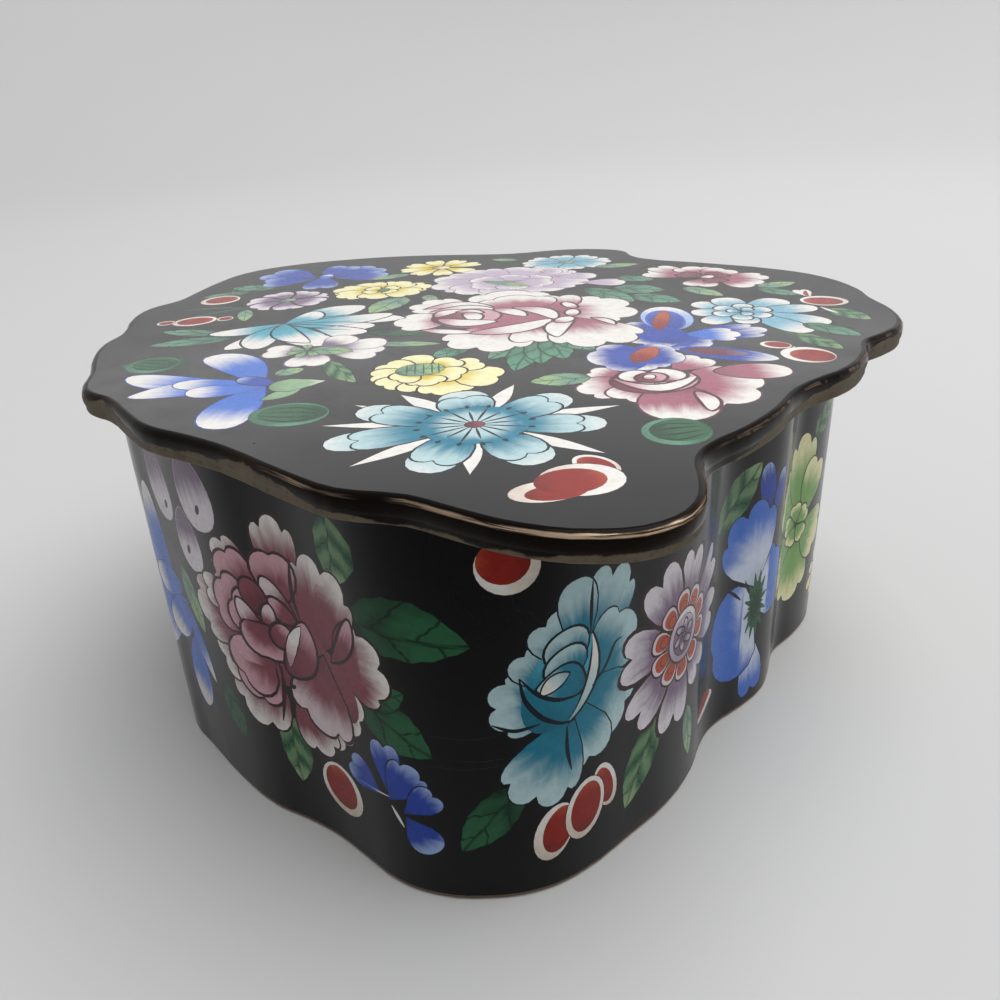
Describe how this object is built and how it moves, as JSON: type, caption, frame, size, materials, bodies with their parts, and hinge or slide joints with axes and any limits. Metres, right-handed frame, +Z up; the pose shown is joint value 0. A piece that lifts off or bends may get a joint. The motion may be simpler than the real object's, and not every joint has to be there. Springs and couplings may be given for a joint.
{
  "type": "enamel trinket box",
  "caption": "Lobed copper trinket box with a lift-off lid that overhangs its straight walls, painted with enamel flowers on black.",
  "frame": {"origin": "centre of the whole box's outline from above, on the plane it stands on", "axes": "+Z up through the lid, +Y towards the back with the square-shouldered side, +X to the right"},
  "size_m": [0.11, 0.1128, 0.0523],
  "materials": {
    "body_enamel": "black enamel fired on copper, painted with flowers outside, plain blue-green inside, glossy",
    "lid_enamel": "black enamel fired on copper, painted with flowers on top, glossy, bare bronze-brown edge"
  },
  "bodies": {
    "root": {"box_body": "body_enamel", "lid": "lid_enamel"}
  },
  "joints": []
}
